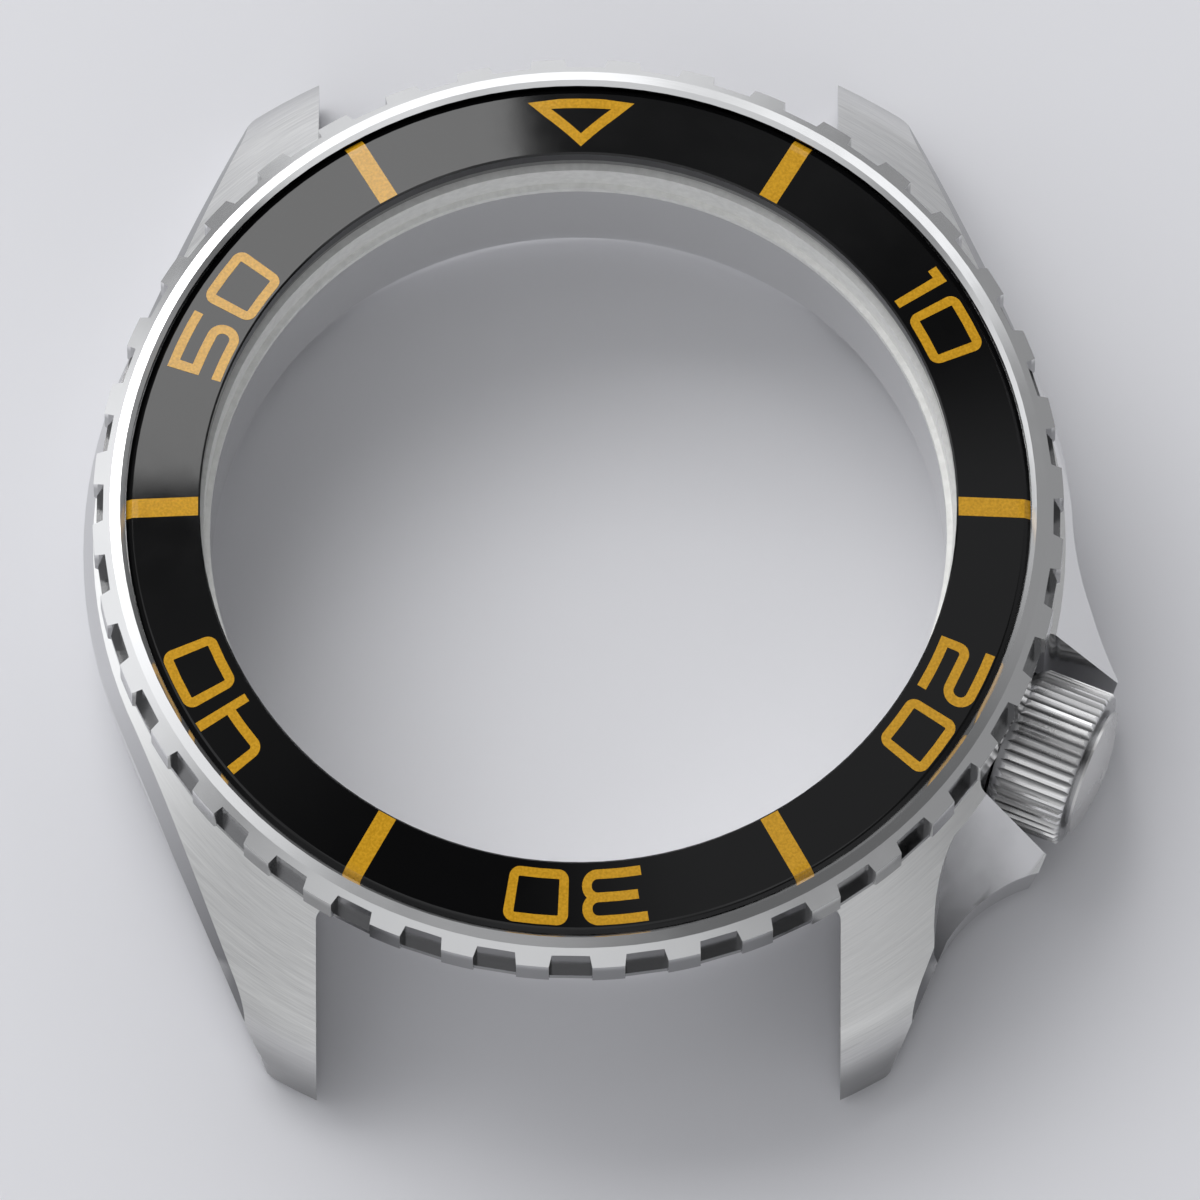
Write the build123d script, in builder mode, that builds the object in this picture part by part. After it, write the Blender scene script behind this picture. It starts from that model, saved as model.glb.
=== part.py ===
from build123d import *
import os
from math import acos, asin, atan2, cos, degrees, hypot, radians, sin, tan

# Empty diver's watch case: middle case with lugs, turning bezel and screw-down crown
# Millimetres, z = 0 on the underside of the middle case, z up through the bezel,
# +Y towards 12 o'clock, +X towards 3 o'clock. Angles are in degrees.

# Plan of the middle case
case_r = 20.85
lug_r = 25.1
flank_angle = 22.35
lug_gap = 22.0
lug_corner_r = 1.1
inner_edge = 0.16
root_fillet = 0.6

# Heights of the middle case, measured up from its underside
deck_h = 8.1
neck_h = 0.95
step_h = 1.24
widest_h = 4.6
lug_end_top = 0.8
lug_end_drop = 0.45
lug_foot_edge = 0.1
lug_foot_in = 0.4
side_undercut = 0.6

# Turned form of the top, each value a radius
pedestal_r = 19.65
shoulder_r = 23.4
shoulder_h = 4.05
foot_r = 19.6
waist_r = 17.15

# Polished bevels along the flanks and round the sides
bevel_angle = 67.5
side_bevel_h = 5.25
flank_mid_h = 4.3
flank_end_h = 1.7
flank_bevel_len = 14.4
flank_lead = 0.3
right_bevel_tilt = 5.1
bevel_reach = 1.6
bevel_out = 0.3

# Crown guards
crown_angle = -22.5
upper_guard_out = 2.65
upper_guard_angle = 10.4
lower_guard_out = 3.07
lower_guard_angle = 12.1
guard_sweep_out = 2.13
guard_sweep_angle = 17.6
guard_flare_out = 0.71
guard_flare_angle = 16.9
guard_start_angle = 26.5
guard_merge = 9.6
guard_undercut = 1.5
guard_slope = 52.4
guard_cone_r = 20.6
guard_cone_h = 6.1
relief_h = 4.5
relief_wall_angle = 10.0
relief_inner_r = 20.3
relief_start_in = 0.13
relief_start_angle = 11.7
relief_mid_out = 0.53
relief_mid_angle = 21.6
relief_end_out = 2.28
relief_end_angle = 27.3

# Crown notch between the guards
notch_floor_x = 19.7
notch_root_half = 3.81
notch_flare = 5.2
notch_corner_r = 0.5

# Bores of the middle case, each value a radius or a depth
neck_r = 17.4
crystal_bore_r = 16.25
movement_r = 15.5
thread_r = 16.2
back_relief_r = 16.45
crystal_depth = 1.85
thread_depth = 1.75
back_depth = 2.3
neck_groove = 0.3
neck_groove_w = 0.34
neck_bead = 0.23

# Spring bar holes in the lugs
bar_hole_r = 0.55
bar_hole_depth = 1.2
bar_hole_y = 20.2
bar_hole_h = 1.4

# Bezel ring
bezel_r = 20.4
bezel_gap = 0.22
bezel_h = 2.23
bevel_top_r = 19.67
bevel_drop = 0.45
lip_drop = 0.15
lip_chamfer = 0.2
bottom_chamfer = 0.12
seat_depth = 0.8
flange_t = 0.55
flange_r = 16.0
skirt_clear = 0.06
skirt_w = 0.59
skirt_lift = 0.08
ratchet_w = 1.25
ratchet_lift = 0.33
tooth_h = 0.3
tooth_count = 60
tooth_share = 0.84
notch_count = 40
notch_phase = -90.9
notch_bed_r = 19.95
notch_ledge = 0.33
notch_bed_half = 0.8
notch_mouth_half = 0.92
notch_rim_r = 20.25

# Bezel insert and the adhesive ring under it
insert_bore_r = 15.885
insert_r = 19.0
insert_clear = 0.05
insert_crown = 0.05
insert_fall = 0.3
insert_edge = 0.28
insert_edge_drop = 0.22
insert_bore_edge = 0.08
tape_t = 0.1
tape_margin = 0.12

# Click spring in its recess in the deck
click_angle = 112.0
click_span = 52.0
click_r_in = 18.25
click_r_out = 19.1
click_t = 0.2
click_clear = 0.1
click_recess = 0.55
click_tongue_len = 3.1
click_tongue_r = 18.17
click_tongue_w = 0.65
click_tip_gap = 0.06
click_tip_drop = 0.1

# Gaskets
gasket_bore_r = 15.75
gasket_foot_t = 0.35
gasket_top_gap = 0.05
bezel_gasket_out = 0.32
bezel_gasket_gap = 0.02
back_gasket_in_r = 16.02
back_gasket_t = 0.45
tube_gasket_x = 18.6
tube_gasket_w = 0.4
tube_gasket_gap = 0.03

# Crown tube, post and head, along the crown axis from the centre of the case
crown_h = 2.65
tube_in_x = 16.75
tube_out_x = 22.2
tube_press_r = 1.7
tube_thread_r = 1.95
tube_bore_r = 0.9
tube_wide_r = 1.45
tube_wide_x = 19.4
post_r = 0.82
post_in_x = 16.6
post_flange_x = 22.0
post_flange_r = 0.94
post_flange_t = 0.25
stem_thread_r = 0.45
stem_thread_depth = 2.5
head_r = 3.38
head_floor_gap = 0.06
knurl_len = 3.4
knurl_count = 48
knurl_depth = 0.2
knurl_land_share = 0.3
head_chamfer = 0.14
head_in_chamfer = 0.32
head_in_len = 0.5
head_bore_r = 2.0
head_wall = 0.3
undercut_w = 0.2
undercut_r = 2.4
cap_r = 2.7
cap_side = 0.12
cap_rise = 0.42
sleeve_in_r = 0.98
sleeve_out_r = 1.3
washer_t = 0.25
washer_x = 20.2
crown_gasket_x = 20.5
crown_gasket_w = 0.55
crown_gasket_out_r = 2.42
spring_wire_r = 0.055
spring_turns = 3.25

# One overrun for every cut that has to leave the solid
over = 3.0

# Heights that follow from the values above
neck_top = deck_h + neck_h
step_foot = deck_h - step_h
bezel_bottom = deck_h + bezel_gap
lip_top = bezel_bottom + bezel_h
seat_z = lip_top - seat_depth
insert_top = lip_top + insert_crown
ledge_z = neck_top - crystal_depth
gap_half = lug_gap / 2


def polar(radius, angle):
    return (radius * cos(radians(angle)), radius * sin(radians(angle)))


crown_dir = Vector(*polar(1, crown_angle), 0)
crown_origin = Vector(0, 0, crown_h)
crown_axis = Axis(crown_origin, crown_dir)
crown_side = Plane(origin=crown_origin, x_dir=crown_dir, z_dir=crown_dir.cross(Vector(0, 0, 1)))


def crown_station(x):
    return Plane(origin=crown_origin + crown_dir * x, x_dir=(0, 0, 1), z_dir=crown_dir)


# Outline of the middle case: two arcs at the sides, four flanks tangent to them,
# the lug ends on one large circle, and the two crown guards
def case_plan(inset):
    side = case_r - inset
    corner = flank_angle + degrees(acos(side / lug_r))
    foot = polar(side, -flank_angle)
    run = polar(guard_merge, -flank_angle - 90)
    merge = (foot[0] + run[0], foot[1] + run[1])
    low = inset * guard_undercut
    lower_tip = polar(case_r + lower_guard_out - low, crown_angle - lower_guard_angle)
    upper_tip = polar(side + upper_guard_out, crown_angle + upper_guard_angle)
    sweep_mid = polar(case_r + guard_sweep_out - low, crown_angle - guard_sweep_angle)
    flare_mid = polar(side + guard_flare_out, crown_angle + guard_flare_angle)
    flare_end = polar(side, crown_angle + guard_start_angle)
    side_mid = polar(side, (crown_angle + guard_start_angle + flank_angle) / 2)
    with BuildLine() as plan:
        ThreePointArc(polar(side, 180 - flank_angle), (-side, 0), polar(side, 180 + flank_angle))
        Line(polar(side, 180 + flank_angle), polar(lug_r, 180 + corner))
        ThreePointArc(polar(lug_r, 180 + corner), (0, -lug_r), polar(lug_r, -corner))
        Line(polar(lug_r, -corner), merge)
        ThreePointArc(merge, sweep_mid, lower_tip)
        Line(lower_tip, upper_tip)
        ThreePointArc(upper_tip, flare_mid, flare_end)
        ThreePointArc(flare_end, side_mid, polar(side, flank_angle))
        Line(polar(side, flank_angle), polar(lug_r, corner))
        ThreePointArc(polar(lug_r, corner), (0, lug_r), polar(lug_r, 180 - corner))
        Line(polar(lug_r, 180 - corner), polar(side, 180 - flank_angle))
    return plan.line.edges()


# Turned blank: neck, deck, step under the bezel, sloping lug tops, rounded lug ends
with BuildPart() as turned_blank:
    with BuildSketch(Plane.XZ):
        with BuildLine():
            Polyline(
                (0, 0),
                (foot_r, 0),
                (lug_r - lug_foot_in, -lug_end_drop),
                (lug_r, lug_foot_edge - lug_end_drop),
                (lug_r, lug_end_top),
            )
            TangentArc((lug_r, lug_end_top), (shoulder_r, shoulder_h), tangent=(0, 1))
            Polyline(
                (shoulder_r, shoulder_h),
                (pedestal_r, step_foot),
                (pedestal_r, deck_h),
                (neck_r, deck_h),
                (neck_r, neck_top),
                (0, neck_top),
                (0, 0),
            )
        make_face()
    revolve(axis=Axis.Z)

# Polished bevel along one flank: a wedge swept on an arc that drops towards the lug end
flank_dir = Vector(*polar(1, flank_angle + 90), 0)
flank_out = Vector(*polar(1, flank_angle), 0)
flank_foot = Vector(*polar(case_r, flank_angle), 0)
flank_plane = Plane(origin=flank_foot, x_dir=flank_dir, z_dir=flank_out * -1)
with BuildPart() as flank_bevel:
    with BuildLine(flank_plane) as bevel_path:
        ThreePointArc(
            (-flank_lead, -side_bevel_h),
            (flank_bevel_len / 2, -flank_mid_h),
            (flank_bevel_len, -flank_end_h),
        )
    bevel_start = Plane(
        origin=bevel_path.line @ 0, x_dir=flank_out, z_dir=bevel_path.line % 0
    )
    bevel_up = bevel_reach * tan(radians(bevel_angle))
    bevel_down = bevel_out * tan(radians(bevel_angle))
    up_sign = 1 if bevel_start.y_dir.Z > 0 else -1
    with BuildSketch(bevel_start):
        with BuildLine():
            Polyline(
                (bevel_out, -up_sign * bevel_down),
                (-bevel_reach, up_sign * bevel_up),
                (bevel_out, up_sign * bevel_up),
                close=True,
            )
        make_face()
    sweep(path=bevel_path.line)
    mirror(about=Plane.XZ)
    mirror(about=Plane.YZ)
    # the lower right flank is free only below the crown guard
    with BuildSketch(Plane.XY):
        guard_side = atan2(guard_merge, case_r)
        guard_low = -flank_angle - degrees(guard_side)
        far_r = (lug_r + over) / cos(radians(guard_low / 2))
        with BuildLine():
            Polyline((0, 0), polar(far_r, guard_low), polar(far_r, 0), (0, 0))
        make_face()
    extrude(amount=neck_top + over, mode=Mode.SUBTRACT)

# Cone that bevels the two sides between the flanks, tilted on the crown side so that
# it rises into the crown guard
with BuildPart() as bevel_cone:
    with BuildSketch(Plane.XZ):
        with BuildLine():
            Polyline(
                (case_r + bevel_out, side_bevel_h - bevel_down),
                (case_r - bevel_reach, side_bevel_h + bevel_up),
                (case_r + bevel_out, side_bevel_h + bevel_up),
                close=True,
            )
        make_face()
    revolve(axis=Axis.Z)

tilt_axis = Axis((0, 0, side_bevel_h), (*polar(1, flank_angle), 0))
with BuildPart() as side_bevel:
    add(bevel_cone.part)
    with BuildSketch(Plane.XY):
        side_reach = (case_r + over) / cos(radians(flank_angle))
        with BuildLine():
            Polyline(
                (0, 0),
                polar(side_reach, 180 - flank_angle),
                polar(side_reach, 180 + flank_angle),
                (0, 0),
            )
        make_face()
    extrude(amount=neck_top + over, mode=Mode.INTERSECT)

with BuildPart() as crown_side_bevel:
    add(bevel_cone.part.rotate(tilt_axis, -right_bevel_tilt))
    with BuildSketch(Plane.XY):
        with BuildLine():
            Polyline(
                (0, 0),
                polar(side_reach, crown_angle + guard_start_angle),
                polar(side_reach, flank_angle),
                (0, 0),
            )
        make_face()
    extrude(amount=neck_top + over, mode=Mode.INTERSECT)

# Steeper cone that forms the polished tops of the crown guards
guard_fall = tan(radians(guard_slope))
with BuildPart() as guard_relief:
    outer_r = lug_r + over
    with BuildSketch(Plane.XZ):
        with BuildLine():
            Polyline(
                (relief_inner_r, guard_cone_h - (relief_inner_r - guard_cone_r) * guard_fall),
                (outer_r, guard_cone_h - (outer_r - guard_cone_r) * guard_fall),
                (outer_r, deck_h),
                (relief_inner_r, deck_h),
                close=True,
            )
        make_face()
    revolve(axis=Axis.Z)

with BuildPart() as guard_sector:
    relief_start = polar(case_r - relief_start_in, crown_angle - relief_start_angle)
    relief_mid = polar(case_r + relief_mid_out, crown_angle - relief_mid_angle)
    relief_end = polar(case_r + relief_end_out, crown_angle - relief_end_angle)
    far_low = polar(lug_r + over, crown_angle - lower_guard_angle)
    far_end = polar(lug_r, crown_angle - relief_end_angle)
    far_high = polar(lug_r + over, flank_angle)
    near_high = polar(relief_inner_r, flank_angle)
    with BuildSketch(Plane.XY.offset(relief_h)):
        with BuildLine():
            ThreePointArc(relief_start, relief_mid, relief_end)
            Polyline(relief_end, far_end, far_low, far_high, near_high, relief_start)
        make_face()
    extrude(amount=deck_h - relief_h, taper=-relief_wall_angle)
    with BuildSketch(Plane.XY.offset(relief_h)):
        with BuildLine():
            ThreePointArc(relief_start, relief_mid, relief_end)
            Polyline(relief_end, far_end, far_low, far_high, near_high, relief_start)
        make_face()
    extrude(amount=-relief_h)
    add(guard_relief.part, mode=Mode.INTERSECT)

# Space between the lugs: straight sides, a waisted wall that narrows towards the underside
with BuildPart() as strap_gap:
    with BuildSketch(Plane.XY.offset(-over)):
        Rectangle(lug_gap, (lug_r + over) * 2)
    extrude(amount=deck_h + over)
    with BuildSketch(Plane.XZ):
        waist_top = deck_h - (deck_h - step_foot) / 2
        waist_slope = (pedestal_r - waist_r) / waist_top
        with BuildLine():
            Polyline(
                (0, -over),
                (waist_r - over * waist_slope, -over),
                (pedestal_r, waist_top),
                (pedestal_r, deck_h),
                (0, deck_h),
                close=True,
            )
        make_face()
    revolve(axis=Axis.Z, mode=Mode.SUBTRACT)
    corners = strap_gap.edges().filter_by(
        lambda e: abs(abs(e.center().X) - gap_half) < bar_hole_r
        and abs(e.center().Y) < pedestal_r
        and abs(e.center().Y) > gap_half
        and abs((e @ 0).Z - (e @ 1).Z) > inner_edge
    )
    fillet(corners, radius=root_fillet)

# Crown notch
with BuildPart() as crown_notch:
    notch_plane = Plane(origin=(0, 0, -over), x_dir=crown_dir, z_dir=(0, 0, 1))
    notch_len = lug_r + over - notch_floor_x
    notch_mouth = notch_root_half + notch_len * tan(radians(notch_flare))
    with BuildSketch(notch_plane):
        with BuildLine():
            Polyline(
                (notch_floor_x, -notch_root_half),
                (notch_floor_x + notch_len, -notch_mouth),
                (notch_floor_x + notch_len, notch_mouth),
                (notch_floor_x, notch_root_half),
                close=True,
            )
        make_face()
    extrude(amount=deck_h + over)
    floor_corners = crown_notch.edges().filter_by(Axis.Z).sort_by(crown_axis)[:2]
    fillet(floor_corners, radius=notch_corner_r)

# Recess for the click spring, an arc in the deck
with BuildPart() as click_recess_cut:
    with BuildSketch(Plane.XY.offset(deck_h - click_recess)):
        with BuildLine():
            recess_in = click_r_in - click_clear
            recess_out = click_r_out + click_clear
            recess_end = click_angle + click_span + degrees(click_clear / recess_in)
            recess_start = click_angle - degrees(click_clear / recess_in)
            recess_mid = (recess_start + recess_end) / 2
            ThreePointArc(
                polar(recess_in, recess_start),
                polar(recess_in, recess_mid),
                polar(recess_in, recess_end),
            )
            Line(polar(recess_in, recess_end), polar(recess_out, recess_end))
            ThreePointArc(
                polar(recess_out, recess_end),
                polar(recess_out, recess_mid),
                polar(recess_out, recess_start),
            )
            Line(polar(recess_out, recess_start), polar(recess_in, recess_start))
        make_face()
    extrude(amount=click_recess + over)

# Middle case
with BuildPart() as mid_case:
    with BuildSketch(Plane.XY.offset(widest_h)):
        make_face(case_plan(0))
    extrude(amount=neck_top - widest_h)
    with BuildSketch(Plane.XY.offset(-lug_end_drop)):
        make_face(case_plan(side_undercut))
    with BuildSketch(Plane.XY.offset(widest_h)):
        make_face(case_plan(0))
    loft(ruled=True)
    lug_corners = mid_case.edges().filter_by(
        lambda e: abs(hypot(e.center().X, e.center().Y) - lug_r) < side_undercut
        and abs((e @ 0).Z - (e @ 1).Z) > widest_h / 2
    )
    fillet(lug_corners, radius=lug_corner_r)
    add(turned_blank.part, mode=Mode.INTERSECT)
    add(flank_bevel.part, mode=Mode.SUBTRACT)
    add(side_bevel.part, mode=Mode.SUBTRACT)
    add(crown_side_bevel.part, mode=Mode.SUBTRACT)
    add(guard_sector.part, mode=Mode.SUBTRACT)
    add(crown_notch.part, mode=Mode.SUBTRACT)
    add(strap_gap.part, mode=Mode.SUBTRACT)
    # stepped bore: crystal seat, movement seat, back thread with a relief for its gasket
    with Locations((0, 0, neck_top)):
        Hole(radius=movement_r, depth=neck_top)
    with Locations((0, 0, neck_top)):
        Hole(radius=crystal_bore_r, depth=crystal_depth)
    with BuildSketch(Plane.XY):
        Circle(thread_r)
    extrude(amount=thread_depth, mode=Mode.SUBTRACT)
    with BuildSketch(Plane.XY.offset(thread_depth)):
        Circle(back_relief_r)
    extrude(amount=back_depth - thread_depth, mode=Mode.SUBTRACT)
    # groove round the neck for the bezel gasket
    with BuildSketch(Plane.XY.offset(neck_top - neck_bead - neck_groove_w)):
        Circle(neck_r + over / 2)
        Circle(neck_r - neck_groove, mode=Mode.SUBTRACT)
    extrude(amount=neck_groove_w, mode=Mode.SUBTRACT)
    add(click_recess_cut.part, mode=Mode.SUBTRACT)
    # hole for the crown tube and the narrow way in for the stem
    with BuildSketch(crown_station(tube_in_x)):
        Circle(tube_press_r)
    extrude(amount=lug_r - tube_in_x, mode=Mode.SUBTRACT)
    with BuildSketch(crown_station(movement_r - over)):
        Circle(tube_bore_r)
    extrude(amount=tube_in_x - movement_r + over, mode=Mode.SUBTRACT)
    # blind spring bar holes in the inner faces of the lugs
    for side in (1, -1):
        hole_plane = Plane(origin=(side * gap_half, 0, bar_hole_h), x_dir=(0, 1, 0), z_dir=(side, 0, 0))
        with BuildSketch(hole_plane):
            with Locations((bar_hole_y, 0), (-bar_hole_y, 0)):
                Circle(bar_hole_r)
        extrude(amount=bar_hole_depth, mode=Mode.SUBTRACT)
mid_case.part.label = "mid_case"

# Bezel ring: knurled grip, insert seat, skirt round the neck, ratchet underneath
skirt_in = neck_r + skirt_clear
skirt_out = skirt_in + skirt_w
ratchet_out = skirt_out + ratchet_w
ratchet_z = bezel_bottom + ratchet_lift
seat_r = insert_r + insert_clear
flange_z = seat_z - flange_t
groove_low = neck_top - neck_bead - neck_groove_w
tooth_root = ratchet_z + tooth_h
with BuildPart() as ratchet_groove:
    tooth_pitch = radians(360 / tooth_count) * skirt_out
    groove_plane = Plane(
        origin=Vector(*polar(skirt_out, 0), ratchet_z), x_dir=(0, 1, 0), z_dir=(1, 0, 0)
    )
    with BuildSketch(groove_plane):
        with BuildLine():
            Polyline(
                (0, -skirt_lift),
                (tooth_share * tooth_pitch, -skirt_lift),
                (tooth_share * tooth_pitch, 0),
                (0, tooth_h),
                close=True,
            )
        make_face()
    extrude(amount=ratchet_w)

with BuildPart() as bezel_notch:
    with BuildSketch(Plane.XY.offset(bezel_bottom + notch_ledge)):
        with BuildLine():
            notch_grow = (notch_mouth_half - notch_bed_half) / (bezel_r - notch_bed_r)
            notch_out_half = notch_mouth_half + notch_grow * over
            Polyline(
                (notch_bed_r, -notch_bed_half),
                (bezel_r + over, -notch_out_half),
                (bezel_r + over, notch_out_half),
                (notch_bed_r, notch_bed_half),
                close=True,
            )
        make_face()
    extrude(amount=bezel_h)
    # the rim under each notch stands slightly behind the grips
    with BuildSketch(Plane.XY.offset(deck_h)):
        with BuildLine():
            rim_half = notch_bed_half + notch_grow * (notch_rim_r - notch_bed_r)
            Polyline(
                (notch_rim_r, -rim_half),
                (bezel_r + over, -notch_out_half),
                (bezel_r + over, notch_out_half),
                (notch_rim_r, rim_half),
                close=True,
            )
        make_face()
    extrude(amount=bezel_h)

with BuildPart() as bezel_ring:
    with BuildSketch(Plane.XZ):
        with BuildLine():
            Polyline(
                (bezel_r - bottom_chamfer, bezel_bottom),
                (bezel_r, bezel_bottom + bottom_chamfer),
                (bezel_r, lip_top - lip_drop - bevel_drop),
                (bevel_top_r, lip_top - lip_drop),
                (seat_r + lip_chamfer, lip_top),
                (seat_r, lip_top - lip_chamfer),
                (seat_r, seat_z),
                (flange_r, seat_z),
                (flange_r, flange_z),
                (skirt_in, flange_z),
                (skirt_in, groove_low + neck_groove_w + bezel_gasket_gap),
                (skirt_in + bezel_gasket_out, groove_low + neck_groove_w + bezel_gasket_gap),
                (skirt_in + bezel_gasket_out, groove_low - bezel_gasket_gap),
                (skirt_in, groove_low - bezel_gasket_gap),
                (skirt_in, bezel_bottom + skirt_lift),
                (skirt_out, bezel_bottom + skirt_lift),
                (skirt_out, ratchet_z),
                (ratchet_out, ratchet_z),
                (ratchet_out, bezel_bottom),
                close=True,
            )
        make_face()
    revolve(axis=Axis.Z)
    with PolarLocations(0, notch_count, start_angle=notch_phase):
        add(bezel_notch.part, mode=Mode.SUBTRACT)
    with PolarLocations(0, tooth_count, start_angle=click_angle):
        add(ratchet_groove.part, mode=Mode.SUBTRACT)
bezel_ring.part.label = "bezel_ring"

# Bezel insert: a ring that rises gently to its bore, with its outer edge rounded off
tape_top = seat_z + tape_t
with BuildPart() as bezel_insert:
    with BuildSketch(Plane.XZ):
        with BuildLine():
            Polyline(
                (insert_bore_r, tape_top),
                (insert_r, tape_top),
                (insert_r, insert_top - insert_fall - insert_edge_drop),
                (insert_r - insert_edge, insert_top - insert_fall),
                (insert_bore_r + insert_bore_edge, insert_top),
                (insert_bore_r, insert_top - insert_bore_edge),
                close=True,
            )
        make_face()
    revolve(axis=Axis.Z)
bezel_insert.part.label = "bezel_insert"

# Adhesive ring between insert and bezel ring
with BuildPart() as insert_tape:
    with BuildSketch(Plane.XY.offset(seat_z)):
        Circle(insert_r - tape_margin)
        Circle(flange_r + tape_margin, mode=Mode.SUBTRACT)
    extrude(amount=tape_t)
insert_tape.part.label = "insert_tape"

# Click spring: an arc leaf in the deck, with a tongue that rises into the ratchet
leaf_z = deck_h - click_recess
tongue_tip_z = tooth_root - click_tip_drop
leaf_start = click_angle + degrees(click_tongue_len / click_r_out)
with BuildPart() as click_spring:
    with BuildSketch(Plane.XY.offset(leaf_z)):
        with BuildLine():
            leaf_end = click_angle + click_span
            leaf_mid = (leaf_start + leaf_end) / 2
            ThreePointArc(
                polar(click_r_in, leaf_start),
                polar(click_r_in, leaf_mid),
                polar(click_r_in, leaf_end),
            )
            Line(polar(click_r_in, leaf_end), polar(click_r_out, leaf_end))
            ThreePointArc(
                polar(click_r_out, leaf_end),
                polar(click_r_out, leaf_mid),
                polar(click_r_out, leaf_start),
            )
            Line(polar(click_r_out, leaf_start), polar(click_r_in, leaf_start))
        make_face()
    extrude(amount=click_t)
    tongue_dir = Vector(*polar(1, click_angle), 0)
    tongue_plane = Plane(
        origin=tongue_dir * click_tongue_r, x_dir=Vector(*polar(1, click_angle + 90), 0), z_dir=tongue_dir
    )
    with BuildSketch(tongue_plane):
        with BuildLine():
            Polyline(
                (click_tip_gap, tongue_tip_z - click_t),
                (click_tip_gap, tongue_tip_z),
                (click_tongue_len, leaf_z + click_t),
                (click_tongue_len + click_t, leaf_z + click_t),
                (click_tongue_len + click_t, leaf_z),
                (click_tongue_len, leaf_z),
                close=True,
            )
        make_face()
    extrude(amount=click_tongue_w)
click_spring.part.label = "click_spring"

# Gasket that holds the bezel on the neck
with BuildPart() as bezel_gasket:
    with BuildSketch(Plane.XY.offset(groove_low)):
        Circle(skirt_in + bezel_gasket_out - bezel_gasket_gap * 2)
        Circle(neck_r - neck_groove, mode=Mode.SUBTRACT)
    extrude(amount=neck_groove_w)
    rims = bezel_gasket.edges().filter_by(GeomType.CIRCLE).group_by(SortBy.RADIUS)[-1]
    chamfer(rims, length=bezel_gasket_gap * 2)
bezel_gasket.part.label = "bezel_gasket"

# Crystal gasket: a ring of L section that lines the crystal seat, its foot flush with the bore below
with BuildPart() as crystal_gasket:
    with BuildSketch(Plane.XZ):
        with BuildLine():
            Polyline(
                (movement_r, ledge_z),
                (crystal_bore_r, ledge_z),
                (crystal_bore_r, neck_top - gasket_top_gap),
                (gasket_bore_r, neck_top - gasket_top_gap),
                (gasket_bore_r, ledge_z + gasket_foot_t),
                (movement_r, ledge_z + gasket_foot_t),
                close=True,
            )
        make_face()
    revolve(axis=Axis.Z)
crystal_gasket.part.label = "crystal_gasket"

# Flat gasket for the screwed back, on the shoulder above the thread
with BuildPart() as back_gasket:
    with BuildSketch(Plane.XY.offset(back_depth - back_gasket_t)):
        Circle(back_relief_r)
        Circle(back_gasket_in_r, mode=Mode.SUBTRACT)
    extrude(amount=back_gasket_t)
back_gasket.part.label = "back_gasket"

# Crown tube, pressed into the middle case, threaded outside, with a groove for its gasket
with BuildPart() as crown_tube:
    groove_r = post_r + tube_gasket_gap + tube_gasket_w
    with BuildSketch(crown_side):
        with BuildLine():
            Polyline(
                (tube_in_x, tube_bore_r),
                (tube_in_x, tube_press_r),
                (notch_floor_x, tube_press_r),
                (notch_floor_x, tube_thread_r),
                (tube_out_x, tube_thread_r),
                (tube_out_x, tube_wide_r),
                (tube_wide_x, tube_wide_r),
                (tube_wide_x, tube_bore_r),
                (tube_gasket_x + tube_gasket_w, tube_bore_r),
                (tube_gasket_x + tube_gasket_w, groove_r),
                (tube_gasket_x, groove_r),
                (tube_gasket_x, tube_bore_r),
                close=True,
            )
        make_face()
    revolve(axis=crown_axis)
    tube_mouth = crown_tube.edges().filter_by(GeomType.CIRCLE).group_by(crown_axis)[-1]
    chamfer(tube_mouth, length=tube_bore_r / 6)
crown_tube.part.label = "crown_tube"

# Gasket inside the tube, round the post
with BuildPart() as tube_gasket:
    with BuildSketch(crown_station(tube_gasket_x)):
        Circle(groove_r)
        Circle(post_r + tube_gasket_gap, mode=Mode.SUBTRACT)
    extrude(amount=tube_gasket_w)
tube_gasket.part.label = "tube_gasket"

# Crown post: slides in the crown, tapped at its inner end for the winding stem
with BuildPart() as crown_post:
    with BuildSketch(crown_side):
        with BuildLine():
            Polyline(
                (post_in_x, stem_thread_r),
                (post_in_x, post_r),
                (post_flange_x, post_r),
                (post_flange_x, post_flange_r),
                (post_flange_x + post_flange_t, post_flange_r),
                (post_flange_x + post_flange_t, 0),
                (post_in_x + stem_thread_depth, 0),
                (post_in_x + stem_thread_depth, stem_thread_r),
                close=True,
            )
        make_face()
    revolve(axis=crown_axis)
crown_post.part.label = "crown_post"

# Crown head: fluted grip, turned undercut, domed cap, and the sleeve that holds the post
head_in_x = notch_floor_x + head_floor_gap
knurl_out_x = head_in_x + knurl_len
cap_in_x = knurl_out_x + undercut_w
dome_x = cap_in_x + cap_side
ceiling_x = knurl_out_x - head_wall
flute_pitch = 360 / knurl_count
dome_r = (cap_rise * cap_rise + cap_r * cap_r) / (cap_rise * 2)
dome_half = degrees(asin(cap_r / dome_r)) / 2
dome_rim = polar(dome_r, dome_half)
dome_mid = (dome_x + cap_rise - dome_r + dome_rim[0], dome_rim[1])
with BuildPart() as head_grip:
    with BuildSketch(crown_station(head_in_x)):
        with BuildLine():
            flute_points = []
            for i in range(knurl_count):
                start = i * flute_pitch
                land = start + knurl_land_share * flute_pitch
                valley = start + (1 + knurl_land_share) / 2 * flute_pitch
                flute_points.append(polar(head_r, start))
                flute_points.append(polar(head_r, land))
                flute_points.append(polar(head_r - knurl_depth, valley))
            Polyline(*flute_points, close=True)
        make_face()
    extrude(amount=knurl_len)

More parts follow.
